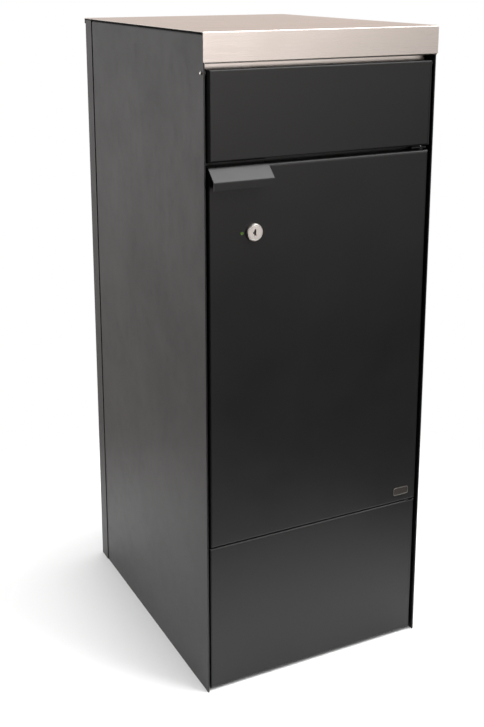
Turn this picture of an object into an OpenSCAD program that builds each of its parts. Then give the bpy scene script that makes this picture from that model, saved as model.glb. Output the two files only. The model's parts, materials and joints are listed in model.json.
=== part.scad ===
// Free-standing parcel drop box folded from sheet steel, with a brushed stainless lid.
// Millimetres. X runs to the right seen from the front, Y runs to the back, Z up.
// The origin is on the floor, in the middle of the body's width and depth.

/* [Body] */
// Width over the two side panels
body_w = 380; // [300:5:480]
// Depth from the side panels' front edges to the rear face
body_d = 475; // [400:5:560]
// Height from the floor to the top of the lid
body_h = 1000; // [900:5:1200]
// Sheet thickness of the side panels
side_t = 2; // [1.5:0.5:3]
// Sheet thickness of the rear panel
rear_t = 1; // [0.8:0.1:2]
// How far the rear panel laps over the side panels
rear_lap = 30; // [20:5:45]
// Sheet thickness of the rails, jambs and compartment floor
frame_t = 1.5; // [1:0.25:2]
// Sheet thickness of the base plate
base_t = 2; // [1.5:0.5:3]

/* [Lid] */
// Sheet thickness of the stainless lid
lid_t = 1.2; // [1:0.1:2]
// Height of the lid's front fascia
fascia_h = 43; // [36:1:60]
// How far the fascia stands in front of the side panels
fascia_out = 2.8; // [2.6:0.1:4]
// How far the lid stands out past each side panel
lid_over = 1; // [0.5:0.1:2]
// How far the lid reaches past the rear panel
lid_back = 3; // [2:0.5:6]
// Height of the lid's rear flange
lid_rear_h = 9; // [6:1:15]
// Height of the drip lip that hangs behind the flap
drip_h = 20; // [12:1:28]
// Thickness of the foam strip between a side panel and the lid
gasket_t = 2; // [1:0.5:4]

/* [Flap] */
// Height of the drop flap
flap_h = 127; // [110:1:150]
// How far the flap's face stands in front of the side panels
flap_out = 1.5; // [0:0.5:2]
// Gap between the flap's ends and the side panels
flap_side_gap = 3; // [3:0.5:5]
// Gap between the fascia and the flap
flap_top_gap = 7.5; // [7:0.5:9]
// Gap between the flap and the door
flap_low_gap = 6.5; // [6:0.5:9]
// Height of the flap's hinge line below its top edge
flap_axis_down = 5; // [5:0.25:5.5]
// Depth of the flap's hinge line behind the side panels' front edges
flap_axis_in = 7.4; // [6.5:0.1:7.6]
// Diameter of the flap's hinge pins
flap_pin_d = 4; // [3:0.5:4.5]

/* [Door] */
// Gap between the door's edges and the side panels
door_side_gap = 4.5; // [4:0.5:6]
// Gap between the door and the plinth panel
door_low_gap = 2; // [2:0.5:4]
// How far the door's face sits behind the side panels' front edges
door_in = 1; // [0.5:0.5:1.5]
// Sheet thickness of the door, flap and plinth panel
skin_t = 1.5; // [1:0.25:1.75]
// Width of the lips folded in at the back of the door
door_lip = 14; // [12:1:18]
// Outer bend radius of the door's top edge
door_top_r = 5; // [3:0.5:6]
// Outer bend radius of the other panel edges
edge_r = 3; // [2.5:0.25:3.5]
// Outer bend radius of the flap's two ends
flap_end_r = 6; // [3:0.5:7]

/* [Hinge] */
// Distance of the door's hinge line from the side panel's inner face
hinge_in = 14.5; // [14:0.5:16]
// Depth of the door's hinge line behind the side panels' front edges
hinge_back = 10; // [9.5:0.5:10.5]
// Diameter of the door's hinge pins
hinge_pin_d = 5; // [4:0.5:6]
// Radial running clearance of every pin in its bush
run_gap = 0.05; // [0.02:0.01:0.1]

/* [Handle] */
// Width of the pull handle
handle_w = 93.5; // [80:0.5:140]
// How far the handle reaches in front of the side panels' edges
handle_out = 18; // [14:1:22]
// Drop from the door's top edge to the handle's nose
handle_drop = 17.7; // [14:0.1:22]
// Height of the handle's down-turned nose
handle_nose = 11.6; // [8:0.1:14]
// Sheet thickness of the handle
handle_t = 2; // [1.5:0.5:2.5]

/* [Lock] */
// Distance of the lock from the left side panel's outer face
lock_from_side = 77; // [70:1:100]
// Distance of the lock below the door's top edge
lock_down = 97; // [90:1:150]
// Diameter of the lock's head at the door
lock_head_d = 25; // [25:0.5:30]
// How far the lock's head stands out of the door
lock_head_h = 5; // [3:0.5:6]
// Diameter of the lock's threaded barrel
lock_barrel_d = 19; // [19:0.5:20]
// Distance of the green mark from the lock's centre
dot_from_lock = 19; // [17:0.5:30]
// Diameter of the green mark
dot_d = 5; // [4:0.5:7]

/* [Plinth] */
// Height of the plinth panel's top edge above the floor
plinth_h = 240; // [180:5:300]
// Gap between the plinth panel and the floor
plinth_ground_gap = 4; // [2:1:10]
// Gap between the plinth panel's ends and the side panels
plinth_side_gap = 4; // [3:0.5:6]
// How far the plinth panel's face sits behind the side panels' front edges
plinth_in = 2.5; // [1:0.5:3]

/* [Mounting] */
// Spacing of the floor anchor holes across the box
anchor_x = 260; // [180:5:280]
// Spacing of the floor anchor holes from front to back
anchor_y = 320; // [220:5:340]
// Diameter of the floor anchor holes
anchor_d = 11; // [8:0.5:14]
// Spacing of the wall fixing holes across the box
wall_x = 240; // [160:5:270]
// Spacing of the wall fixing holes up the box
wall_z = 400; // [250:5:420]
// Diameter of the wall fixing holes
wall_d = 9; // [6:0.5:12]

/* [Hidden] */
$fn = 48;

// Planes of the body
front_y = -body_d / 2;
back_y = body_d / 2;
outer_x = body_w / 2;
inner_x = outer_x - side_t;
bend_steps = 6;
inner_r = 1;
seam = 0.2;

// Radial clearance of a fastener in its hole, and how far a drill runs to each side of its point
tight = 0.05;
drill_reach = 5;

// Heights, from the lid down to the plinth
panel_top = body_h - lid_t - gasket_t;
fascia_low = body_h - fascia_h;
flap_top = fascia_low - flap_top_gap;
flap_low = flap_top - flap_h;
door_top = flap_low - flap_low_gap;
door_low = plinth_h + door_low_gap;
door_h = door_top - door_low;
flap_axis_z = flap_top - flap_axis_down;

// Frame behind the flap and the door
frame_in = 24;
frame_y = front_y + frame_in;
shut_gap = 6;
shut_y = frame_y - shut_gap;
overlap = 13;
floor_top = door_low + overlap;
floor_flange = 45;
rail_low = door_top - overlap;
rail_up = 15.5;
rail_top = flap_low + rail_up;
rail_depth = 30;
top_flange = 20;
top_rail_h = 22.8;
top_rail_gap = 1.8;
top_rail_y = frame_y + lid_t + top_rail_gap;
jamb_face = 22;
jamb_return = 20;
jamb_weld = 25;
base_rim = 28;
drain_r = 4;
drain_in = 30;

// Door, flap and plinth trays
door_w = 2 * (inner_x - door_side_gap);
door_y = front_y + door_in;
door_d = shut_y - door_y;
flap_w = 2 * (inner_x - flap_side_gap);
flap_y = front_y - flap_out;
flap_d = shut_y - flap_y;
flap_lip = 12;
flap_bumper_x = 140;
flap_pin_in = 10;
flap_bush_l = 5;
flap_bush_rim = 1.2;
flap_end_play = 0.3;
flap_axis_y = front_y + flap_axis_in;
plinth_w = 2 * (inner_x - plinth_side_gap);
plinth_y = front_y + plinth_in;
plinth_d = 18;
hinge_x = inner_x - hinge_in;
hinge_y = front_y + hinge_back;
hinge_r = hinge_pin_d / 2;
flap_pin_r = flap_pin_d / 2;

// Door furniture
handle_left = -door_w / 2;
handle_right = handle_left + handle_w;
lock_x = -outer_x + lock_from_side;
lock_z = door_top - lock_down;
barrel_r = lock_barrel_d / 2;
cam_y = frame_y + frame_t + 2.5;
cam_t = 2;
cam_half = 8;
cam_hub_r = 11;
cam_play = 3;
slot_back = 2.5;
jamb_from_lock = lock_from_side - side_t - jamb_face;
cam_reach = jamb_from_lock + 6;
dot_h = 0.6;
dot_stem_r = 1.6;
dot_stem_l = 4;
badge_w = 28;
badge_h = 13;
badge_t = 0.8;
badge_r = 3;
badge_in = 35;
badge_up = 18.5;

// Fasteners
stud_r = 2.5;
stud_l = 9;
stud_hole_r = stud_r + 0.25;
stud_x = inner_x - 6;
nut_af = 8;
nut_h = 4;
nut_flange_r = 5;
nut_flange_h = 1;
screw_r = 2;
screw_hole_r = screw_r + tight;
screw_head_r = 4;
low_head_h = 1.5;
pan_head_h = 2;
rivet_grip = 7;
rivet_head_h = 1;
plinth_screw_x = outer_x - 70;
plinth_screw_y = plinth_y + 9;
plinth_screw_l = 12;
bracket_t = 2.5;
bracket_w = 30;
bracket_drop = 26;
hinge_bracket_drop = 28;
bracket_nose_y = plinth_y + skin_t + 2;
bracket_rivet_down = 17;
plinth_rivet_high = plinth_h - skin_t - bracket_rivet_down;
plinth_rivet_low = plinth_ground_gap + skin_t + bracket_rivet_down;
hinge_leaf_x0 = hinge_x - 18;
hinge_leaf_x1 = plinth_w / 2 - skin_t - 0.5;
hinge_rivet_xs = [hinge_x - 12, hinge_x + 4];
chute_t = 1.2;
chute_run = 100;
chute_lip = 26;
chute_gap = 2;
baffle_gap = 1;

// ---------------------------------------------------------------- sheet-metal helpers

function unit(v) = v / norm(v);
function left_of(v) = [-v[1], v[0]];
function turned(v, a) = [v[0] * cos(a) - v[1] * sin(a), v[0] * sin(a) + v[1] * cos(a)];
function heading(p, i) = unit(p[i + 1] - p[i]);

// Turn at corner i of a path, in degrees, positive to the left
function turn(p, i) =
    let (a = heading(p, i - 1), b = heading(p, i))
    atan2(a[0] * b[1] - a[1] * b[0], a * b);

// Points of the bend at corner i, on the sheet's left or right face. r is the inside radius.
function bend(p, i, t, r, on_left) =
    let (a = heading(p, i - 1), w = turn(p, i), side = sign(w),
         path_r = w > 0 ? r + t : r,
         centre = p[i] - path_r * tan(abs(w) / 2) * a + side * path_r * left_of(a),
         face_r = (w > 0) == on_left ? r : r + t)
    [for (k = [0:bend_steps]) centre - side * face_r * turned(left_of(a), w * k / bend_steps)];

function reversed(v) = [for (i = [len(v) - 1:-1:0]) v[i]];

// Outline of a folded sheet. p is the path of its right-hand face, and the sheet lies on its left.
function folded(p, t, r) =
    let (n = len(p),
         right = [for (i = [1:1:n - 2]) each bend(p, i, t, r, false)],
         left = [for (i = [1:1:n - 2]) each bend(p, i, t, r, true)],
         first = t * left_of(heading(p, 0)),
         last = t * left_of(heading(p, n - 2)))
    concat([p[0]], right, [p[n - 1], p[n - 1] + last], reversed(left), [p[0] + first]);

// Rectangle from the origin whose corners, counter-clockwise from the origin, have the radii r
function soft_rect(w, h, r) =
    let (corner = [[0, 0], [w, 0], [w, h], [0, h]], inward = [[1, 1], [-1, 1], [-1, -1], [1, -1]])
    [for (i = [0:3], k = [0:bend_steps])
        let (a = 180 + 90 * i + 90 * k / bend_steps)
        corner[i] + r[i] * inward[i] + r[i] * [cos(a), sin(a)]];

// Extrudes a (y, z) outline along X between x0 and x1
module along_x(x0, x1)
    translate([x0, 0, 0]) rotate([90, 0, 90]) linear_extrude(x1 - x0) children();

// Extrudes an (x, z) outline along Y between y0 and y1
module along_y(y0, y1)
    translate([0, y1, 0]) rotate([90, 0, 0]) linear_extrude(y1 - y0) children();

// Cylinder along X, Y or Z from its start, used for pins and for the holes that take them
module rod_x(r, from, length) translate(from) rotate([0, 90, 0]) cylinder(r = r, h = length);
module rod_y(r, from, length) translate(from) rotate([-90, 0, 0]) cylinder(r = r, h = length);
module rod_z(r, from, length) translate(from) cylinder(r = r, h = length);

// Drill centred on a point, for a hole through a thin sheet there
module drill_x(r, at) rod_x(r, at - [drill_reach, 0, 0], 2 * drill_reach);
module drill_y(r, at) rod_y(r, at - [0, drill_reach, 0], 2 * drill_reach);
module drill_z(r, at) rod_z(r, at - [0, 0, drill_reach], 2 * drill_reach);

// Solid block of a tray: face at y = 0, centred in x, standing on z = 0
module tray_block(w, h, d, top_r, side_r, low_r, back_r)
    intersection() {
        linear_extrude(h) translate([-w / 2, 0])
            polygon(soft_rect(w, d, [side_r, side_r, back_r, back_r]));
        along_x(-w / 2, w / 2) polygon(soft_rect(d, h, [low_r, back_r, back_r, top_r]));
    }

// Tray folded from one sheet, its face towards -Y. With a lip, its back edges are folded in.
module tray(w, h, d, t, top_r, side_r, low_r, lip = 0) {
    back_r = lip > 0 ? t + inner_r : 0;
    inner_d = lip > 0 ? d - 2 * t : d;
    inner_back_r = lip > 0 ? inner_r : 0;
    difference() {
        tray_block(w, h, d, top_r, side_r, low_r, back_r);
        translate([0, t, t])
            tray_block(w - 2 * t, h - 2 * t, inner_d, top_r - t, side_r - t, low_r - t, inner_back_r);
        if (lip > 0)
            translate([-w / 2 + lip, d - 2 * t, lip]) cube([w - 2 * lip, 3 * t, h - 2 * lip]);
    }
}

// Pan-head or low-head screw pointing down from its seat at the origin
module screw_down(r, length, head_r, head_h) {
    translate([0, 0, -length]) cylinder(r = r, h = length);
    cylinder(r1 = head_r, r2 = head_r * 0.8, h = head_h);
}

// Blind rivet along -Y from the face at the origin: a low head and a short body
module rivet(r, grip) {
    rod_y(r, [0, 0, 0], grip);
    rod_y(r * 1.8, [0, -rivet_head_h, 0], rivet_head_h);
}

// ---------------------------------------------------------------- body

module side_panel() {
    end_y = back_y - rear_t - inner_r - seam;
    path = [[outer_x, 0], [outer_x, panel_top], [outer_x - top_flange, panel_top]];
    color([0.17, 0.17, 0.17]) difference() {
        along_y(front_y, end_y) polygon(folded(path, side_t, inner_r));
        drill_x(flap_pin_r + tight, [outer_x, flap_axis_y, flap_axis_z]);
        for (y = stud_ys) drill_z(stud_hole_r, [stud_x, y, panel_top]);
        drill_z(screw_hole_r, [baffle_screw_x, baffle_screw_y, panel_top]);
    }
}

module rear_panel() {
    x = outer_x + rear_t;
    path = [[x, back_y - rear_lap], [x, back_y], [-x, back_y], [-x, back_y - rear_lap]];
    color([0.17, 0.17, 0.17]) difference() {
        linear_extrude(panel_top) polygon(folded(path, rear_t, inner_r));
        for (sx = [-1, 1], sz = [-1, 1])
            drill_y(wall_d / 2, [sx * wall_x / 2, back_y, wall_mid_z + sz * wall_z / 2]);
    }
}

module base_plate() {
    depth = back_y - rear_t - frame_y;
    fold_r = base_t + inner_r;
    color([0.17, 0.17, 0.17]) difference() {
        translate([0, back_y - rear_t, 0]) rotate([90, 0, 0])
            tray(2 * inner_x, depth, base_rim, base_t, fold_r, fold_r, fold_r);
        for (sx = [-1, 1], sy = [-1, 1])
            drill_z(anchor_d / 2, [sx * anchor_x / 2, sy * anchor_y / 2, 0]);
        for (sx = [-1, 1]) drill_y(screw_hole_r, [sx * plinth_screw_x, frame_y, plinth_rivet_low]);
    }
}

module compartment_floor() {
    depth = back_y - rear_t - frame_y;
    fold_r = frame_t + inner_r;
    color([0.17, 0.17, 0.17]) difference() {
        translate([0, frame_y, floor_top]) rotate([-90, 0, 0])
            tray(2 * inner_x, depth, floor_flange, frame_t, fold_r, fold_r, fold_r);
        for (sx = [-1, 1], y = [frame_y + drain_in, back_y - drain_in])
            drill_z(drain_r, [sx * (inner_x - drain_in), y, floor_top]);
        for (sx = [-1, 1]) drill_y(screw_hole_r, [sx * plinth_screw_x, frame_y, plinth_rivet_high]);
        for (x = hinge_rivet_xs) drill_y(screw_hole_r, [x, frame_y, low_rivet_z]);
    }
}

// Channel welded to the right-hand side panel, open to the back
module jamb() {
    x0 = inner_x - jamb_face;
    path = [[x0, frame_y + jamb_return], [x0, frame_y], [inner_x, frame_y], [inner_x, frame_y + jamb_weld]];
    translate([0, 0, floor_top]) linear_extrude(rail_low - floor_top)
        polygon(folded(path, frame_t, inner_r));
}

// The slot clears the cam's corner as the cam swings into the jamb
module jamb_left() {
    tip_r = norm([cam_reach, cam_half]);
    slot_low = cam_half + cam_play;
    slot_high = sqrt(tip_r * tip_r - jamb_from_lock * jamb_from_lock) + cam_play;
    slot_y = frame_y + frame_t + inner_r;
    color([0.17, 0.17, 0.17]) difference() {
        mirror([1, 0, 0]) jamb();
        translate([-inner_x + jamb_face - drill_reach, slot_y, lock_z - slot_low])
            cube([2 * drill_reach, cam_y + cam_t + slot_back - slot_y, slot_low + slot_high]);
    }
}

module jamb_right() color([0.17, 0.17, 0.17]) jamb();

module mid_rail() {
    y1 = frame_y + rail_depth;
    path = [[y1, rail_top], [frame_y, rail_top], [frame_y, rail_low], [y1, rail_low]];
    color([0.17, 0.17, 0.17]) difference() {
        along_x(-inner_x, inner_x) polygon(folded(path, frame_t, inner_r));
        for (x = chute_screw_xs) drill_z(screw_hole_r, [x, chute_screw_y, rail_top]);
        for (x = hinge_rivet_xs) drill_y(screw_hole_r, [x, frame_y, top_rivet_z]);
    }
}

module top_rail() {
    z1 = panel_top - side_t;
    z0 = z1 - top_rail_h;
    y1 = top_rail_y + rail_depth;
    path = [[y1, z1], [top_rail_y, z1], [top_rail_y, z0], [y1, z0]];
    end_x = inner_x - inner_r;
    color([0.17, 0.17, 0.17]) along_x(-end_x, end_x) polygon(folded(path, frame_t, inner_r));
}

// ---------------------------------------------------------------- lid

lid_end_gap = 1;
lid_front_gap = 0.4;
lid_cut_h = 15;
nick_w = 0.75;
gasket_w = 13;
gasket_in = 1;

// The folds behind the fascia stop short of the side panels, and its two lower corners are nicked
module lid() {
    x = outer_x + lid_over;
    end_x = inner_x - lid_end_gap;
    rear_y = back_y + lid_back;
    nose_y = front_y - fascia_out;
    corner = lid_t + inner_r;
    path = [[rear_y, body_h - lid_rear_h], [rear_y, body_h], [nose_y, body_h], [nose_y, fascia_low],
        [frame_y, fascia_low], [frame_y, fascia_low - drip_h]];
    color([0.80, 0.77, 0.74]) difference() {
        along_x(-x, x) polygon(folded(path, lid_t, inner_r));
        for (s = [0, 1]) mirror([s, 0, 0]) {
            translate([end_x, front_y - lid_front_gap, fascia_low - drip_h - 1])
                cube([x - end_x + 1, 2 * frame_in, drip_h + lid_cut_h + 1]);
            translate([x, nose_y, fascia_low])
                cube([2 * (lid_over + nick_w), 2 * (corner + 1), 2 * corner], center = true);
        }
    }
}

module lid_gaskets()
    color([0.03, 0.03, 0.03]) for (s = [0, 1]) mirror([s, 0, 0]) difference() {
        translate([inner_x + gasket_in - gasket_w, front_y + gasket_in, panel_top])
            cube([gasket_w, body_d - rear_lap / 2, gasket_t]);
        for (y = stud_ys) drill_z(stud_hole_r, [stud_x, y, panel_top]);
    }

module each_stud() for (sx = [-1, 1], y = stud_ys) translate([sx * stud_x, y, 0]) children();

module lid_studs()
    color([0.72, 0.71, 0.69]) each_stud()
        translate([0, 0, panel_top - side_t - stud_l])
            cylinder(r = stud_r, h = stud_l + side_t + gasket_t);

module lid_nuts()
    color([0.62, 0.62, 0.60]) each_stud() translate([0, 0, panel_top - side_t - nut_h]) difference() {
        union() {
            cylinder(r = nut_af / 2 / cos(30), h = nut_h, $fn = 6);
            translate([0, 0, nut_h - nut_flange_h]) cylinder(r = nut_flange_r, h = nut_flange_h);
        }
        drill_z(stud_r + tight, [0, 0, nut_h / 2]);
    }

// ---------------------------------------------------------------- plinth

module plinth_panel() {
    panel_h = plinth_h - plinth_ground_gap;
    notch_w = 14;
    color([0.10, 0.10, 0.10]) difference() {
        translate([0, plinth_y, plinth_ground_gap])
            tray(plinth_w, panel_h, plinth_d, skin_t, edge_r, edge_r, edge_r);
        for (sx = [-1, 1], z = [plinth_ground_gap, plinth_h])
            drill_z(screw_hole_r, [sx * plinth_screw_x, plinth_screw_y, z]);
        translate([hinge_x - notch_w / 2, hinge_y - notch_w / 2, plinth_h - drill_reach])
            cube([notch_w, 2 * plinth_d, 2 * drill_reach]);
    }
}

// Angle that joins the floor's front flange to the plinth panel's top flange
module bracket_angle(x0, x1, top_z, nose_y, drop)
    along_x(x0, x1)
        polygon(folded([[nose_y, top_z - bracket_t], [frame_y - bracket_t, top_z - bracket_t],
            [frame_y - bracket_t, top_z - drop]], bracket_t, inner_r));

// Drilled angle whose leaf lies under z = 0, for one end of the plinth panel
module plinth_bracket()
    difference() {
        bracket_angle(-bracket_w / 2, bracket_w / 2, 0, bracket_nose_y, bracket_drop);
        drill_z(screw_hole_r, [0, plinth_screw_y, 0]);
        drill_y(screw_hole_r, [0, frame_y, -bracket_rivet_down]);
    }

// Screw through the plinth panel's flange and the bracket's leaf, and the bracket's rivet
module plinth_fixing() {
    translate([0, plinth_screw_y, skin_t])
        screw_down(screw_r, plinth_screw_l, screw_head_r, low_head_h);
    translate([0, frame_y - bracket_t, -bracket_rivet_down]) rivet(screw_r, rivet_grip);
}

// Places a fixing at both ends of the panel's top flange and, upside down, of its bottom flange
module each_plinth_corner()
    for (sx = [-1, 1]) translate([sx * plinth_screw_x, 0, 0]) {
        translate([0, 0, plinth_h - skin_t]) children();
        translate([0, 0, plinth_ground_gap + skin_t]) mirror([0, 0, 1]) children();
    }

module plinth_brackets() color([0.55, 0.55, 0.54]) each_plinth_corner() plinth_bracket();
module plinth_screws() color([0.62, 0.62, 0.60]) each_plinth_corner() plinth_fixing();

// ---------------------------------------------------------------- drop chute and baffle

chute_in = 6;
chute_y = frame_y + chute_in;
chute_screw_in = 10;
chute_screw_y = chute_y + chute_screw_in;
chute_screw_xs = [-120, 0, 120];
chute_screw_l = 9;
baffle_y = frame_y + 176;
baffle_shelf = 25;
baffle_drop = 92;
baffle_reach = 125;
baffle_screw_x = inner_x - 9;
baffle_screw_y = baffle_y + 12;
stud_in = 70;
stud_clear = 15;
stud_ys = [front_y + stud_in, baffle_y + baffle_shelf + stud_clear, back_y - stud_in];
wall_mid_z = (floor_top + rail_low) / 2;
top_rivet_z = rail_top - 8;
seat_z = plinth_h - skin_t - 0.5;
low_rivet_z = seat_z - 18;

module drop_chute() {
    bend_y = frame_y + rail_depth + 1;
    path = [[chute_y, rail_top], [bend_y, rail_top], [bend_y + chute_run, rail_top - chute_run],
        [bend_y + chute_run, rail_top - chute_run - chute_lip]];
    color([0.17, 0.17, 0.17]) difference() {
        along_x(-inner_x + chute_gap, inner_x - chute_gap) polygon(folded(path, chute_t, inner_r));
        for (x = chute_screw_xs) drill_z(screw_hole_r, [x, chute_screw_y, rail_top]);
    }
}

module chute_screws()
    color([0.62, 0.62, 0.60]) for (x = chute_screw_xs)
        translate([x, chute_screw_y, rail_top + chute_t])
            screw_down(screw_r, chute_screw_l, screw_head_r, pan_head_h);

module anti_theft_baffle() {
    z1 = panel_top - side_t - chute_t;
    web_y = baffle_y + baffle_shelf;
    path = [[baffle_y, z1], [web_y, z1], [web_y, z1 - baffle_drop], [baffle_y, z1 - baffle_reach]];
    color([0.17, 0.17, 0.17]) difference() {
        along_x(-inner_x + baffle_gap, inner_x - baffle_gap) polygon(folded(path, chute_t, inner_r));
        for (sx = [-1, 1]) drill_z(screw_hole_r, [sx * baffle_screw_x, baffle_screw_y, z1]);
    }
}

module baffle_screws()
    color([0.62, 0.62, 0.60]) for (sx = [-1, 1])
        translate([sx * baffle_screw_x, baffle_screw_y, panel_top - side_t - chute_t])
            rotate([180, 0, 0]) screw_down(screw_r, chute_t + side_t, screw_head_r, pan_head_h);

// ---------------------------------------------------------------- door hinge

bracket_low = door_top + 2;
bracket_nose = 5;
flange_h = 1;
float_gap = 0.1;
collar_h = door_low - flange_h - float_gap - seat_z;
upper_pin_in = 12;
lower_pin_in = 11;
pin_head_r = hinge_r + 1;
pin_head_h = 1;

module hinge_bracket_upper() {
    path = [[hinge_y - bracket_nose, bracket_low], [frame_y, bracket_low], [frame_y, rail_top - 2]];
    color([0.10, 0.10, 0.10]) difference() {
        along_x(hinge_leaf_x0, hinge_leaf_x1) polygon(folded(path, bracket_t, inner_r));
        drill_z(hinge_r + tight, [hinge_x, hinge_y, bracket_low]);
        for (x = hinge_rivet_xs) drill_y(screw_hole_r, [x, frame_y, top_rivet_z]);
    }
}

module hinge_bracket_lower()
    color([0.55, 0.55, 0.54]) difference() {
        bracket_angle(hinge_leaf_x0, hinge_leaf_x1, seat_z, bracket_nose_y, hinge_bracket_drop);
        drill_z(hinge_r + tight, [hinge_x, hinge_y, seat_z]);
        for (x = hinge_rivet_xs) drill_y(screw_hole_r, [x, frame_y, low_rivet_z]);
    }

module hinge_pin_upper()
    color([0.72, 0.71, 0.69]) {
        rod_z(hinge_r, [hinge_x, hinge_y, door_top - upper_pin_in],
            upper_pin_in + bracket_low + bracket_t - door_top);
        rod_z(pin_head_r, [hinge_x, hinge_y, bracket_low + bracket_t], pin_head_h);
    }

module hinge_pin_lower()
    color([0.72, 0.71, 0.69]) {
        rod_z(hinge_r, [hinge_x, hinge_y, seat_z - bracket_t],
            door_low + lower_pin_in - seat_z + bracket_t);
        rod_z(hinge_sleeve_r, [hinge_x, hinge_y, seat_z], collar_h);
        rod_z(pin_head_r, [hinge_x, hinge_y, seat_z - bracket_t - pin_head_h], pin_head_h);
    }

// Flanged bush whose flange lies below z = 0 and whose sleeve stands above it
module bush(bore_r, sleeve_r, sleeve_h, flange_r, flange_h)
    difference() {
        union() {
            cylinder(r = sleeve_r, h = sleeve_h);
            translate([0, 0, -flange_h]) cylinder(r = flange_r, h = flange_h);
        }
        translate([0, 0, -flange_h - 1]) cylinder(r = bore_r, h = sleeve_h + flange_h + 2);
    }

bush_wall = 1.2;
bush_l = 8;
bush_rim = 1.3;
hinge_sleeve_r = hinge_r + bush_wall;
flap_sleeve_r = flap_pin_r + bush_wall;

module hinge_bush_upper()
    color([0.05, 0.05, 0.05]) translate([hinge_x, hinge_y, door_top]) rotate([180, 0, 0])
        bush(hinge_r + run_gap, hinge_sleeve_r, bush_l, hinge_sleeve_r + bush_rim,
            bracket_low - door_top - 2 * float_gap);

module hinge_bush_lower()
    color([0.05, 0.05, 0.05]) translate([hinge_x, hinge_y, door_low])
        bush(hinge_r + run_gap, hinge_sleeve_r, bush_l, hinge_sleeve_r + bush_rim, flange_h);

module bracket_rivets()
    color([0.62, 0.62, 0.60]) for (x = hinge_rivet_xs, z = [top_rivet_z, low_rivet_z])
        translate([x, frame_y - bracket_t, z]) rivet(screw_r, rivet_grip);

// ---------------------------------------------------------------- catch and bumpers

catch_h = 40;
catch_z = door_top - 60;
catch_w = 14;
catch_x = -inner_x + door_side_gap;
magnet_w = 6;
magnet_h = 32;
magnet_d = 3.7;
nose_gap = 0.3;
buffer_r = 4.5;
buffer_nose_r = 3.2;
buffer_taper = 1.2;
door_bumper_low = 45;
door_bumper_high = 300;

module magnet_holder()
    color([0.05, 0.05, 0.05]) difference() {
        translate([catch_x, shut_y + nose_gap, catch_z - catch_h / 2])
            cube([catch_w, shut_gap - nose_gap, catch_h]);
        magnet_block(shut_y, magnet_d + nose_gap);
    }

module magnet()
    color([0.30, 0.29, 0.28]) magnet_block(shut_y + nose_gap, magnet_d);

// Block in the middle of the catch, from y back by its depth
module magnet_block(y, depth)
    translate([catch_x + (catch_w - magnet_w) / 2, y, catch_z - magnet_h / 2])
        cube([magnet_w, depth, magnet_h]);

// Round rubber buffer standing on the frame, its nose just clear of the closed panel
module bumper(x, z) {
    foot_y = shut_y + nose_gap + buffer_taper;
    rod_y(buffer_r, [x, foot_y, z], frame_y - foot_y);
    translate([x, shut_y + nose_gap, z]) rotate([-90, 0, 0])
        cylinder(r1 = buffer_nose_r, r2 = buffer_r, h = buffer_taper);
}

module door_bumpers()
    color([0.04, 0.04, 0.04]) {
        for (up = [door_bumper_low, door_bumper_high]) bumper(catch_x + catch_w / 2, floor_top + up);
        for (z = [door_low + overlap / 2, door_top - overlap / 2]) bumper(0, z);
    }

module flap_bumpers()
    color([0.04, 0.04, 0.04]) for (sx = [-1, 1]) bumper(sx * flap_bumper_x, flap_low + flap_lip / 2);

// ---------------------------------------------------------------- flap

module flap_pin() {
    head_r = flap_pin_r + 0.7;
    rim_h = 0.8;
    dome_h = 1;
    rod_x(flap_pin_r, [inner_x - flap_pin_in, flap_axis_y, flap_axis_z], flap_pin_in + side_t);
    rod_x(head_r, [outer_x, flap_axis_y, flap_axis_z], rim_h);
    translate([outer_x + rim_h, flap_axis_y, flap_axis_z]) rotate([0, 90, 0])
        cylinder(r1 = head_r, r2 = head_r * 0.6, h = dome_h);
}

module flap_pin_right() color([0.80, 0.78, 0.75]) flap_pin();
module flap_pin_left() color([0.80, 0.78, 0.75]) mirror([1, 0, 0]) flap_pin();

module flap_panel()
    color([0.10, 0.10, 0.10]) difference() {
        translate([0, flap_y, flap_low])
            tray(flap_w, flap_h, flap_d, skin_t, edge_r, flap_end_r, edge_r, flap_lip);
        for (s = [0, 1]) mirror([s, 0, 0])
            drill_x(flap_sleeve_r + tight, [flap_w / 2, flap_axis_y, flap_axis_z]);
    }

module flap_bushes()
    color([0.05, 0.05, 0.05]) for (s = [0, 1]) mirror([s, 0, 0])
        translate([flap_w / 2, flap_axis_y, flap_axis_z]) rotate([0, -90, 0])
            bush(flap_pin_r + run_gap, flap_sleeve_r, flap_bush_l, flap_sleeve_r + flap_bush_rim,
                flap_side_gap - flap_end_play);

// Outline of a hat-section stiffener on the face at v = 0, centred on u = 0
function hat(web, foot, height) =
    [[-web / 2 - foot, 0], [-web / 2, 0], [-web / 2, height - hat_t], [web / 2, height - hat_t],
     [web / 2, 0], [web / 2 + foot, 0]];

hat_t = 1.2;
hat_height = 11;
flap_hat_w = 34;
flap_hat_foot = 14;
flap_hat_up = 53;
flap_hat_in = 30;
door_hat_w = 60;
door_hat_foot = 16;
door_hat_in = 50;

module flap_stiffener() {
    y0 = flap_y + skin_t;
    z0 = flap_low + flap_hat_up;
    half_w = flap_w / 2 - flap_hat_in;
    color([0.17, 0.17, 0.17]) translate([0, y0, z0]) rotate([0, 90, 0])
        translate([0, 0, -half_w]) linear_extrude(2 * half_w)
            polygon(folded(hat(flap_hat_w, flap_hat_foot, hat_height), hat_t, inner_r));
}

// ---------------------------------------------------------------- door

step_gap = 1;

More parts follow.
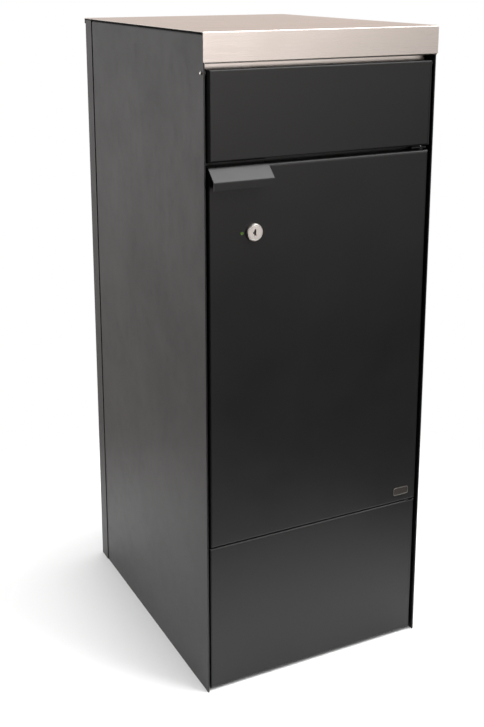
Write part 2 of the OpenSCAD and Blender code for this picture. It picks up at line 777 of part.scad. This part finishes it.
// The top edge is let down under the handle by the handle's own thickness
module door_panel() {
    step_z = door_top - handle_t;
    color([0.10, 0.10, 0.10]) difference() {
        union() {
            difference() {
                translate([0, door_y, door_low])
                    tray(door_w, door_h, door_d, skin_t, door_top_r, edge_r, edge_r, door_lip);
                translate([handle_left - step_gap, door_y - 1, step_z])
                    cube([handle_w + 2 * step_gap, door_d + 2, handle_t + 1]);
            }
            translate([handle_left + skin_t, door_y + skin_t, step_z - skin_t])
                cube([handle_w + step_gap - skin_t, door_d - 2 * skin_t, skin_t]);
        }
        for (z = [door_low, door_top]) drill_z(hinge_sleeve_r + tight, [hinge_x, hinge_y, z]);
        drill_y(barrel_r + 2 * tight, [lock_x, door_y, lock_z]);
        drill_y(dot_stem_r + tight, [lock_x - dot_from_lock, door_y, lock_z]);
        for (x = handle_rivet_xs) drill_z(screw_hole_r, [x, handle_rivet_y, step_z]);
        along_x(handle_left - step_gap, handle_right + step_gap) handle_outline();
    }
}

module door_stiffener()
    color([0.17, 0.17, 0.17])
        translate([0, door_y + skin_t, door_low + door_hat_in]) linear_extrude(door_h - 2 * door_hat_in)
            polygon(folded(hat(door_hat_w, door_hat_foot, hat_height), hat_t, inner_r));

handle_rivet_in = 18;
handle_rivet_xs = [handle_left + handle_rivet_in, handle_right - handle_rivet_in];
handle_rivet_back = 8.5;
handle_rivet_y = door_y + handle_rivet_back;
handle_rivet_head_r = 3.4;
handle_rivet_head_h = 0.9;
leaf_short = 3;
leaf_bend_in = 1.2;

// Outline of the handle: a leaf on the door's top edge, a slope forwards and a down-turned nose
module handle_outline() {
    nose_y = front_y - handle_out;
    polygon(folded([[shut_y - leaf_short, door_top], [door_y + leaf_bend_in, door_top],
        [nose_y, door_top - handle_drop], [nose_y, door_top - handle_drop - handle_nose]],
        handle_t, inner_r));
}

module door_handle()
    color([0.22, 0.22, 0.22]) difference() {
        along_x(handle_left, handle_right) handle_outline();
        for (x = handle_rivet_xs) drill_z(screw_hole_r, [x, handle_rivet_y, door_top]);
    }

module handle_rivets()
    color([0.10, 0.10, 0.10]) for (x = handle_rivet_xs)
        translate([x, handle_rivet_y, door_top])
            screw_down(screw_r, rivet_grip, handle_rivet_head_r, handle_rivet_head_h);

module badge_plate()
    color([0.30, 0.29, 0.28])
        translate([outer_x - badge_in - badge_w / 2, 0, door_low + badge_up - badge_h / 2])
            along_y(door_y - badge_t, door_y)
                polygon(soft_rect(badge_w, badge_h, [badge_r, badge_r, badge_r, badge_r]));

module indicator_dot()
    color([0.30, 0.42, 0.12]) {
        rod_y(dot_d / 2, [lock_x - dot_from_lock, door_y - dot_h, lock_z], dot_h);
        rod_y(dot_stem_r, [lock_x - dot_from_lock, door_y, lock_z], dot_stem_l);
    }

// ---------------------------------------------------------------- lock

housing_end = cam_y - 0.5;
plug_face_r = 10.2;
plug_r = 6.5;
face_t = 2;
lock_head_r = lock_head_d / 2;
head_chamfer = 1.5;
lock_nut_af = 24;
lock_nut_h = 4;
square_w = 8;
key_w = 2.2;
key_h = 10;
key_d = 18;
mark_w = 7.2;
mark_l = 3.2;
mark_d = 0.8;
cam_screw_l = 6;
cam_washer_r = 6.5;
cam_washer_h = 1;

module lock_housing() {
    face_y = door_y - lock_head_h;
    color([0.78, 0.75, 0.71]) difference() {
        union() {
            translate([lock_x, face_y, lock_z]) rotate([-90, 0, 0])
                cylinder(r1 = lock_head_r - 1, r2 = lock_head_r, h = head_chamfer);
            rod_y(lock_head_r, [lock_x, face_y + head_chamfer, lock_z], lock_head_h - head_chamfer);
            rod_y(barrel_r, [lock_x, door_y, lock_z], housing_end - door_y);
        }
        rod_y(plug_r + run_gap, [lock_x, face_y - 1, lock_z], housing_end - face_y + 2);
        rod_y(plug_face_r + run_gap, [lock_x, face_y - 1, lock_z], face_t + 1 + run_gap);
    }
}

module lock_nut()
    color([0.62, 0.62, 0.60]) translate([lock_x, door_y + skin_t, lock_z]) rotate([-90, 0, 0])
        difference() {
            cylinder(r = lock_nut_af / 2 / cos(30), h = lock_nut_h, $fn = 6);
            drill_z(barrel_r + tight, [0, 0, lock_nut_h / 2]);
        }

// The arrow beside the key slot points to the green mark when the lock is shut
module lock_plug() {
    face_y = door_y - lock_head_h;
    shoulder_y = cam_y - 0.2;
    color([0.74, 0.71, 0.67]) difference() {
        union() {
            rod_y(plug_face_r, [lock_x, face_y, lock_z], face_t);
            rod_y(plug_r, [lock_x, face_y, lock_z], shoulder_y - face_y);
            translate([lock_x - square_w / 2, shoulder_y, lock_z - square_w / 2])
                cube([square_w, cam_y + cam_t - shoulder_y, square_w]);
        }
        translate([lock_x - key_w / 2, face_y - 1, lock_z - key_h / 2]) cube([key_w, key_d + 1, key_h]);
        translate([lock_x - key_w / 2, 0, lock_z]) along_y(face_y - 1, face_y + mark_d)
            polygon([[0, -mark_w / 2], [0, mark_w / 2], [-mark_l, 0]]);
        rod_y(screw_hole_r, [lock_x, cam_y - cam_screw_l - 2, lock_z], cam_screw_l + cam_t + 3);
    }
}

module lock_cam()
    color([0.62, 0.62, 0.60]) difference() {
        along_y(cam_y, cam_y + cam_t) union() {
            translate([lock_x, lock_z]) circle(r = cam_hub_r);
            translate([lock_x - cam_half, lock_z]) square([2 * cam_half, cam_reach]);
        }
        translate([lock_x - square_w / 2 - tight, cam_y - 1, lock_z - square_w / 2 - tight])
            cube([square_w + 2 * tight, cam_t + 2, square_w + 2 * tight]);
    }

module cam_screw()
    color([0.62, 0.62, 0.60]) {
        rod_y(screw_r, [lock_x, cam_y - cam_screw_l, lock_z], cam_screw_l + cam_t);
        rod_y(cam_washer_r, [lock_x, cam_y + cam_t, lock_z], cam_washer_h);
        rod_y(screw_head_r, [lock_x, cam_y + cam_t + cam_washer_h, lock_z], pan_head_h);
    }

// ---------------------------------------------------------------- nodes

mirror([1, 0, 0]) side_panel();  // side_panel_left
side_panel();  // side_panel_right
rear_panel();
base_plate();
compartment_floor();
jamb_left();
jamb_right();
mid_rail();
top_rail();
lid();
lid_gaskets();
lid_studs();
lid_nuts();
plinth_panel();
plinth_brackets();
plinth_screws();
drop_chute();
chute_screws();
anti_theft_baffle();
baffle_screws();
hinge_bracket_upper();
hinge_bracket_lower();
hinge_pin_upper();
hinge_pin_lower();
bracket_rivets();
magnet_holder();
magnet();
door_bumpers();
flap_bumpers();
flap_pin_left();
flap_pin_right();
flap_panel();
flap_stiffener();
flap_bushes();
door_panel();
door_stiffener();
hinge_bush_upper();
hinge_bush_lower();
door_handle();
handle_rivets();
lock_housing();
lock_nut();
indicator_dot();
badge_plate();
lock_plug();
lock_cam();
cam_screw();
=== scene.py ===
"""Looks of the parcel drop box: materials, two small added pieces, floor, soft light and camera."""
import json
import math

import bmesh
import bpy
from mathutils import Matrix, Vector


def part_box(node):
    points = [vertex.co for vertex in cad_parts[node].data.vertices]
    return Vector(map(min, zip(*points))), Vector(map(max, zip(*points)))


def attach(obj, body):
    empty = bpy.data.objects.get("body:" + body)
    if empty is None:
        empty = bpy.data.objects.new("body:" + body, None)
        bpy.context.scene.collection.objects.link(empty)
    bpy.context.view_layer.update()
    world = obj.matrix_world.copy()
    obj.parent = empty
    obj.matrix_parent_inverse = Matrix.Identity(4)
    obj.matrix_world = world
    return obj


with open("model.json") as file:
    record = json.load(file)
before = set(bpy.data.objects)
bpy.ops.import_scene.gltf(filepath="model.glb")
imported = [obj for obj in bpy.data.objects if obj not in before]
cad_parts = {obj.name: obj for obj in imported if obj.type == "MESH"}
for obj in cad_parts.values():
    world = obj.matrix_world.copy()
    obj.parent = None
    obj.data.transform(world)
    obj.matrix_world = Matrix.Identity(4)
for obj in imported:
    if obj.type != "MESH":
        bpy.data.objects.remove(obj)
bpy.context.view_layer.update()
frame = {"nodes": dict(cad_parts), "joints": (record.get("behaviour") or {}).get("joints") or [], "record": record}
nodes = frame["nodes"]
MM = 0.001

# Sockets of the Mix node that carry colours
MIX_A, MIX_B, MIX_RESULT = 6, 7, 2

# Ranges, wide and narrow, in which most of a noise's values lie
WIDE = (0.3, 0.7)
NARROW = (0.35, 0.65)


# ------------------------------------------------------------------ node helpers

class Graph:
    """A small wrapper that adds shader nodes and links them by name."""

    def __init__(self, tree):
        self.tree = tree
        tree.nodes.clear()

    def add(self, kind, inputs=None, **settings):
        node = self.tree.nodes.new(kind)
        for key, value in settings.items():
            setattr(node, key, value)
        for key, value in (inputs or {}).items():
            self.feed(node.inputs[key], value)
        return node

    def feed(self, socket, value):
        """Links the socket to another one, or sets a plain value on it."""
        if isinstance(value, bpy.types.NodeSocket):
            self.tree.links.new(value, socket)
        else:
            socket.default_value = value

    def math(self, operation, a, b):
        return self.add("ShaderNodeMath", {0: a, 1: b}, operation=operation).outputs[0]

    def vector(self, operation, a, b):
        return self.add("ShaderNodeVectorMath", {0: a, 1: b}, operation=operation).outputs[0]

    def dot(self, a, b):
        return self.add("ShaderNodeVectorMath", {0: a, 1: b}, operation="DOT_PRODUCT").outputs["Value"]

    def length(self, a):
        return self.add("ShaderNodeVectorMath", {0: a}, operation="LENGTH").outputs["Value"]

    def noise(self, vector, scale, detail=2.0, roughness=0.5, distortion=0.0):
        inputs = {"Vector": vector, "Scale": scale, "Detail": detail,
                  "Roughness": roughness, "Distortion": distortion}
        return self.add("ShaderNodeTexNoise", inputs).outputs["Fac"]

    def remap(self, value, low, high, to_low=0.0, to_high=1.0):
        inputs = {"Value": value, "From Min": low, "From Max": high, "To Min": to_low, "To Max": to_high}
        return self.add("ShaderNodeMapRange", inputs).outputs["Result"]

    def mix(self, factor, a, b):
        node = self.add("ShaderNodeMix", data_type="RGBA")
        self.feed(node.inputs["Factor"], factor)
        self.feed(node.inputs[MIX_A], a)
        self.feed(node.inputs[MIX_B], b)
        return node.outputs[MIX_RESULT]

    def bump(self, height, distance, strength, normal=None):
        inputs = {"Height": height, "Distance": distance, "Strength": strength}
        if normal is not None:
            inputs["Normal"] = normal
        return self.add("ShaderNodeBump", inputs).outputs["Normal"]


def tone(colour, factor, lift=0.0):
    """The colour made lighter or darker by a factor, then raised a little, with its alpha."""
    return (*(min(1.0, channel * factor + lift) for channel in colour), 1.0)


def tinted(colour, factors):
    """The colour with a factor of its own for each channel, with its alpha."""
    return (*(channel * factor for channel, factor in zip(colour, factors)), 1.0)


def grey(level):
    return (level, level, level)


def new_material(name):
    """A material, its empty graph, and the place on the object."""
    material = bpy.data.materials.new(name)
    material.use_nodes = True
    graph = Graph(material.node_tree)
    place = graph.add("ShaderNodeTexCoord").outputs["Object"]
    return material, graph, place


def finish_material(graph, **inputs):
    """Adds the Principled shader and the output; underscores stand for the spaces in the sockets' names."""
    shader = graph.add("ShaderNodeBsdfPrincipled")
    for key, value in inputs.items():
        graph.feed(shader.inputs[key.replace("_", " ")], value)
    graph.add("ShaderNodeOutputMaterial", {"Surface": shader.outputs[0]})


def edges(graph, radius):
    """A mask, 1 along sharp edges within the radius and 0 on flat faces, and a normal rounded over them."""
    flat_dot, edge_dot = 0.995, 0.80
    rounded = graph.add("ShaderNodeBevel", {"Radius": radius}, samples=6).outputs[0]
    flat = graph.add("ShaderNodeNewGeometry").outputs["Normal"]
    return graph.remap(graph.dot(rounded, flat), flat_dot, edge_dot), rounded


# ------------------------------------------------------------------ materials

def powder_coat(name, colour, roughness):
    """Satin powder coat: orange peel, a fine grain in the gloss, clouding, and a painted highlight that lightens
    the edges.
    """
    material, graph, place = new_material(name)
    cloud = graph.noise(place, scale=7.0, detail=4.0, roughness=0.6)
    grain = graph.noise(place, scale=2600.0)
    peel = graph.noise(place, scale=620.0, detail=3.0, roughness=0.55)
    dust = graph.noise(place, scale=55.0, detail=6.0, roughness=0.7)
    edge, rounded = edges(graph, 0.5 * MM)

    clouded = graph.mix(graph.remap(cloud, *WIDE), tone(colour, 0.86), tone(colour, 1.16))
    speckles = graph.remap(grain, 0.62, 0.80, 0.0, 0.30)
    speckled = graph.mix(speckles, clouded, tone(colour, 2.2))
    # painted highlight: the colour is made lighter along the edges, standing in for light caught by them
    edge_highlight = graph.math("MULTIPLY", edge, 0.35)
    edge_lit_colour = graph.mix(edge_highlight, speckled, tone(colour, 3.0, lift=0.01))

    gloss = graph.math("ADD", graph.remap(cloud, *WIDE, roughness - 0.02, roughness + 0.03),
                       graph.remap(dust, 0.45, 0.75, 0.0, 0.035))
    gloss = graph.math("ADD", gloss, graph.remap(grain, *WIDE, -0.02, 0.03))
    normal = graph.bump(peel, 0.012 * MM, 0.55, rounded)
    normal = graph.bump(grain, 0.004 * MM, 0.5, normal)
    finish_material(graph, Base_Color=edge_lit_colour, Roughness=gloss, Normal=normal, IOR=1.45)
    return material


def brushed_metal(name, colour, roughness):
    """Metal brushed along X: long fine scratches in colour, gloss and height."""
    material, graph, place = new_material(name)
    drawn_out = graph.vector("MULTIPLY", place, (0.012, 1.0, 1.0))
    fine = graph.noise(drawn_out, scale=5200.0, detail=3.0, roughness=0.6)
    coarse = graph.noise(drawn_out, scale=1100.0, detail=4.0, roughness=0.65)
    cloud = graph.noise(place, scale=9.0, detail=3.0, roughness=0.55)
    streak = graph.math("ADD", graph.math("MULTIPLY", fine, 0.55), graph.math("MULTIPLY", coarse, 0.45))

    shade = graph.mix(graph.remap(streak, 0.36, 0.64), tone(colour, 0.93), tone(colour, 1.05))
    warm = tinted(colour, (1.02, 0.99, 0.95))
    shade = graph.mix(graph.remap(cloud, *NARROW, 0.0, 0.35), shade, warm)

    gloss = graph.math("ADD", graph.remap(streak, *NARROW, roughness - 0.05, roughness + 0.06),
                       graph.remap(cloud, *NARROW, -0.015, 0.02))
    normal = graph.bump(streak, 0.006 * MM, 0.45)
    along = graph.add("ShaderNodeCombineXYZ", {0: 1.0, 1: 0.0, 2: 0.0}).outputs[0]
    finish_material(graph, Base_Color=shade, Roughness=gloss, Normal=normal,
                    Metallic=1.0, Anisotropic=0.55, Tangent=along)
    return material


def turned_metal(name, colour, roughness, centre):
    """Turned metal: fine rings about the line along Y through the centre, handling marks, and a painted highlight
    that lightens the edges.
    """
    material, graph, place = new_material(name)
    offset = graph.vector("SUBTRACT", place, centre)
    radius = graph.length(graph.vector("MULTIPLY", offset, (1.0, 0.0, 1.0)))
    depth = graph.add("ShaderNodeSeparateXYZ", {0: offset}).outputs[1]
    rings_at = graph.add("ShaderNodeCombineXYZ", {0: radius, 1: depth, 2: 0.0}).outputs[0]
    rings = graph.noise(rings_at, scale=2600.0)
    marks = graph.noise(place, scale=420.0, detail=5.0, roughness=0.65)
    edge, rounded = edges(graph, 0.35 * MM)

    shade = graph.mix(graph.remap(rings, *NARROW), tone(colour, 0.88), tone(colour, 1.06))
    # painted highlight: the colour is made lighter along the edges
    shade = graph.mix(graph.math("MULTIPLY", edge, 0.6), shade, tone(colour, 1.25))
    gloss = graph.math("ADD", graph.remap(rings, *NARROW, roughness - 0.05, roughness + 0.05),
                       graph.remap(marks, 0.4, 0.7, 0.0, 0.06))
    normal = graph.bump(rings, 0.004 * MM, 0.5, rounded)
    finish_material(graph, Base_Color=shade, Roughness=gloss, Normal=normal, Metallic=1.0)
    return material


def zinc_plate(name, colour, roughness):
    """Bright zinc plating: faint crystal clouding with a yellowish cast in places."""
    material, graph, place = new_material(name)
    cells = graph.add("ShaderNodeTexVoronoi", {"Vector": place, "Scale": 900.0}).outputs["Color"]
    crystal = graph.add("ShaderNodeSeparateColor", {0: cells}).outputs[0]
    cloud = graph.noise(place, scale=140.0, detail=4.0, roughness=0.6)

    shade = graph.mix(crystal, tone(colour, 0.90), tone(colour, 1.08))
    yellowish = tinted(colour, (1.06, 1.00, 0.84))
    shade = graph.mix(graph.remap(cloud, 0.5, 0.75, 0.0, 0.5), shade, yellowish)
    gloss = graph.math("ADD", graph.remap(crystal, 0.0, 1.0, roughness - 0.04, roughness + 0.05),
                       graph.remap(cloud, 0.4, 0.7, 0.0, 0.08))
    normal = graph.bump(cloud, 0.01 * MM, 0.4)
    finish_material(graph, Base_Color=shade, Roughness=gloss, Normal=normal, Metallic=1.0)
    return material


def moulded(name, colour, roughness, grain_scale=1500.0, grain_depth=0.015 * MM, specular=0.5):
    """Moulded plastic or rubber: fine spark-eroded grain, faint flow marks and a painted highlight that lightens
    the edges.
    """
    material, graph, place = new_material(name)
    grain = graph.noise(place, scale=grain_scale, detail=3.0, roughness=0.6)
    drawn_out = graph.vector("MULTIPLY", place, (1.0, 0.4, 1.0))
    flow = graph.noise(drawn_out, scale=60.0, detail=3.0, distortion=0.6)
    edge, rounded = edges(graph, 0.3 * MM)

    shade = graph.mix(graph.remap(flow, *NARROW), tone(colour, 0.90), tone(colour, 1.08))
    # painted highlight: the colour is made lighter along the edges
    shade = graph.mix(graph.math("MULTIPLY", edge, 0.3), shade, tone(colour, 1.5, lift=0.01))
    gloss = graph.math("ADD", graph.remap(grain, *WIDE, roughness - 0.05, roughness + 0.05),
                       graph.remap(flow, 0.4, 0.7, 0.0, 0.05))
    normal = graph.bump(grain, grain_depth, 0.6, rounded)
    finish_material(graph, Base_Color=shade, Roughness=gloss, Normal=normal, Specular_IOR_Level=specular)
    return material


def enamel(name, colour):
    """Glossy enamel, slightly mottled, under a clear coat."""
    material, graph, place = new_material(name)
    mottle = graph.noise(place, scale=800.0, detail=3.0)
    shade = graph.mix(graph.remap(mottle, *NARROW), tone(colour, 0.8), tone(colour, 1.15))
    gloss = graph.remap(mottle, *WIDE, 0.18, 0.30)
    normal = graph.bump(mottle, 0.01 * MM, 0.3)
    finish_material(graph, Base_Color=shade, Roughness=gloss, Normal=normal,
                    Coat_Weight=0.4, Coat_Roughness=0.12)
    return material


# ------------------------------------------------------------------ what each node is made of

lock_low, lock_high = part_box("lock_plug")
lock_face = Vector(((lock_low.x + lock_high.x) / 2, lock_low.y, (lock_low.z + lock_high.z) / 2))
joint_at = {joint["name"]: Vector(joint["pos_m"]) for joint in frame["joints"]}

paint = powder_coat("powder_coat_anthracite", (0.0090, 0.0087, 0.0088), 0.36)
steel = brushed_metal("stainless_brushed", (0.55, 0.505, 0.47), 0.30)
nickel = turned_metal("satin_nickel", (0.88, 0.83, 0.78), 0.40, lock_face)
pin_steel = turned_metal("turned_stainless", (0.66, 0.64, 0.61), 0.22, joint_at["flap_hinge"])
zinc = zinc_plate("zinc_plate", (0.56, 0.57, 0.56), 0.34)
rubber = moulded("black_rubber", (0.018, 0.018, 0.018), 0.72, 900.0, 0.02 * MM, specular=0.3)
plastic = moulded("black_plastic", (0.022, 0.022, 0.023), 0.45)
ferrite = moulded("ferrite_magnet", (0.06, 0.06, 0.062), 0.55, 2200.0, 0.02 * MM)
green = enamel("green_enamel", (0.10, 0.20, 0.03))
badge = brushed_metal("badge_dark_anodised", (0.14, 0.13, 0.122), 0.38)
rim_metal = brushed_metal("badge_rim_metal", (0.42, 0.40, 0.375), 0.34)

BY_SLOT = {
    "anthracite_powder_coat": paint,
    "black_powder_coat": paint,
    "brushed_stainless": steel,
    "stainless_pin": pin_steel,
    "zinc_plated_steel": zinc,
    "black_rubber": rubber,
    "black_plastic": plastic,
    "ferrite": ferrite,
    "satin_nickel": nickel,
    "green_mark": green,
    "badge_metal": badge,
}

for entry in frame["record"]["subparts"]:
    materials = nodes[entry["node"]].data.materials
    materials.clear()
    materials.append(BY_SLOT[entry["material_slot"]])


# ------------------------------------------------------------------ small added pieces

def soft_rectangle(width, height, radius, steps=8):
    """Points round a rectangle with rounded corners, centred on the origin, in (x, z)."""
    points = []
    for corner, (side_x, side_z) in enumerate(((1, 1), (-1, 1), (-1, -1), (1, -1))):
        for step in range(steps + 1):
            angle = math.radians(90.0 * corner + 90.0 * step / steps)
            points.append((side_x * (width / 2 - radius) + radius * math.cos(angle),
                           side_z * (height / 2 - radius) + radius * math.sin(angle)))
    return points


def plate(name, outline, y_front, y_back, place, material, bevel, hole=None):
    """Thin plate between two depths, cut along an (x, z) outline; a hole has as many points as that."""
    shape = bmesh.new()

    def front_and_back(points):
        return [[shape.verts.new((place.x + x, y, place.z + z)) for x, z in points]
                for y in (y_front, y_back)]

    count = len(outline)
    outer_front, outer_back = front_and_back(outline)
    for i in range(count):
        j = (i + 1) % count
        shape.faces.new((outer_front[i], outer_back[i], outer_back[j], outer_front[j]))
    if hole is None:
        shape.faces.new(outer_front)
        shape.faces.new(list(reversed(outer_back)))
    else:
        inner_front, inner_back = front_and_back(hole)
        for i in range(count):
            j = (i + 1) % count
            shape.faces.new((inner_front[j], inner_back[j], inner_back[i], inner_front[i]))
            shape.faces.new((outer_front[i], outer_front[j], inner_front[j], inner_front[i]))
            shape.faces.new((outer_back[j], outer_back[i], inner_back[i], inner_back[j]))
    bmesh.ops.recalc_face_normals(shape, faces=shape.faces)

    mesh = bpy.data.meshes.new(name)
    shape.to_mesh(mesh)
    shape.free()
    mesh.materials.append(material)
    piece = bpy.data.objects.new(name, mesh)
    bpy.context.collection.objects.link(piece)
    rounding = piece.modifiers.new("rounding", "BEVEL")
    rounding.width = bevel
    rounding.segments = 2
    rounding.limit_method = "ANGLE"
    return piece


def badge_rim():
    """Raised rim round the blank badge plate."""
    inset = 0.1 * MM            # from the plate's edge to the rim
    rim_width = 0.8 * MM
    outer_radius = 2.9 * MM
    rim_height = 0.30 * MM
    gap = 0.01 * MM             # between the plate and the rim's back
    low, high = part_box("badge_plate")
    width = high.x - low.x - 2 * inset
    height = high.z - low.z - 2 * inset
    outline = soft_rectangle(width, height, outer_radius)
    hole = soft_rectangle(width - 2 * rim_width, height - 2 * rim_width, outer_radius - rim_width)
    rim = plate("badge_rim", outline, low.y - rim_height, low.y - gap, (low + high) / 2,
                rim_metal, 0.08 * MM, hole)
    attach(rim, "door")


def lock_arrow():
    """A dark piece set in the arrow that is cut beside the key slot."""
    foot_x, tip_x = -1.25 * MM, -3.95 * MM
    half_foot = 3.0 * MM
    front, back = 0.25 * MM, 0.75 * MM      # depths behind the plug's face
    outline = [(foot_x, -half_foot), (foot_x, half_foot), (tip_x, 0.0)]
    arrow = plate("lock_arrow_dark_piece", outline, lock_face.y + front, lock_face.y + back, lock_face,
                  plastic, 0.05 * MM)
    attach(arrow, "lock")


badge_rim()
lock_arrow()


# ------------------------------------------------------------------ studio

def studio_floor():
    """Plain pale floor, a round that fades out a short way from the box."""
    floor_size = 14.0
    full_within, gone_beyond = 0.42, 0.80
    bpy.ops.mesh.primitive_plane_add(size=floor_size, location=(0.0, 0.0, 0.0))
    floor = bpy.context.object
    floor.name = "studio_floor"
    material = bpy.data.materials.new("studio_floor")
    material.use_nodes = True
    graph = Graph(material.node_tree)
    where = graph.add("ShaderNodeNewGeometry").outputs["Position"]
    gone = graph.remap(graph.length(where), full_within, gone_beyond)
    pale = graph.add("ShaderNodeBsdfDiffuse", {"Color": tone(grey(0.9), 1.0)}).outputs[0]
    clear = graph.add("ShaderNodeBsdfTransparent").outputs[0]
    mixed = graph.add("ShaderNodeMixShader", {0: gone, 1: pale, 2: clear}).outputs[0]
    graph.add("ShaderNodeOutputMaterial", {"Surface": mixed})
    floor.data.materials.append(material)


# Soft light of the studio, as round patches of sky: name, azimuth from the front towards the right,
# elevation, half-angle within which the patch is full, half-angle beyond which it has gone, and its light
PATCHES = [
    ("overhead", 0.0, 90.0, 6.0, 14.0, grey(21.0)),
    ("dome", 0.0, 90.0, 30.0, 88.0, grey(0.42)),
    ("side_high", 64.0, 60.0, 5.0, 18.0, grey(10.0)),
    ("key_right", 38.0, 40.0, 4.0, 10.0, grey(14.0)),
    ("front_near", 15.0, 5.0, 3.0, 20.0, (3.7, 3.5, 3.45)),
    ("front_right", 34.0, 3.0, 3.0, 18.0, grey(0.65)),
    ("right", 95.0, 12.0, 8.0, 40.0, grey(0.7)),
    ("back", 190.0, 30.0, 8.0, 30.0, grey(0.6)),
    ("left", -90.0, 18.0, 8.0, 40.0, grey(0.35)),
    ("back_right", 150.0, 8.0, 5.0, 28.0, (0.92, 0.78, 0.71)),
    ("left_back", -152.0, 0.0, 3.0, 16.0, (1.6, 1.57, 1.57)),
    ("left_back_low", -152.0, -16.0, 3.0, 16.0, (1.25, 1.18, 1.16)),
    ("left_back_lowest", -152.0, -34.0, 3.0, 16.0, (0.5, 0.45, 0.44)),
]


def toward(azimuth, elevation):
    """Direction from the box, with azimuth 0 to its front and 90 to its right."""
    around, up = math.radians(azimuth), math.radians(elevation)
    return Vector((math.sin(around) * math.cos(up), -math.cos(around) * math.cos(up), math.sin(up)))


def patch_glow(graph, direction, name, azimuth, elevation, full, gone, light):
    """Light that one patch sends from a direction."""
    closeness = graph.dot(direction, toward(azimuth, elevation))
    limits = {"From Min": math.cos(math.radians(gone)), "From Max": math.cos(math.radians(full))}
    ramp = graph.add("ShaderNodeMapRange", {"Value": closeness, **limits}, interpolation_type="SMOOTHSTEP")
    inputs = {0: light, "Scale": ramp.outputs["Result"]}
    return graph.add("ShaderNodeVectorMath", inputs, operation="SCALE", name=name).outputs[0]


def studio_world():
    """White to the camera, and the sum of the patches to everything else."""
    world = bpy.data.worlds.new("studio")
    bpy.context.scene.world = world
    world.use_nodes = True
    graph = Graph(world.node_tree)
    direction = graph.add("ShaderNodeTexCoord").outputs["Generated"]
    total, *others = [patch_glow(graph, direction, *patch) for patch in PATCHES]
    for glow in others:
        total = graph.vector("ADD", total, glow)
    to_camera = graph.add("ShaderNodeLightPath").outputs["Is Camera Ray"]
    studio = graph.add("ShaderNodeBackground", {"Color": total}).outputs[0]
    white = graph.add("ShaderNodeBackground", {"Color": tone(grey(1.0), 1.0)}).outputs[0]
    mixed = graph.add("ShaderNodeMixShader", {0: to_camera, 1: studio, 2: white}).outputs[0]
    graph.add("ShaderNodeOutputWorld", {"Surface": mixed})


def camera():
    """At the picture's viewing angle, from the left of the box's front and a little above it."""
    degrees_left, degrees_down = 26.741, 13.663
    data = bpy.data.cameras.new("camera")
    data.lens = 54.56
    data.sensor_width = 36.0
    data.shift_y = -0.1726
    eye = bpy.data.objects.new("camera", data)
    bpy.context.collection.objects.link(eye)
    eye.location = (-0.80976, -1.58213, 1.07863)
    eye.rotation_euler = (math.radians(90.0 - degrees_down), 0.0, math.radians(-degrees_left))
    bpy.context.scene.camera = eye


studio_floor()
studio_world()
camera()
bpy.context.scene.view_settings.view_transform = "Standard"
bpy.context.scene.view_settings.look = "None"
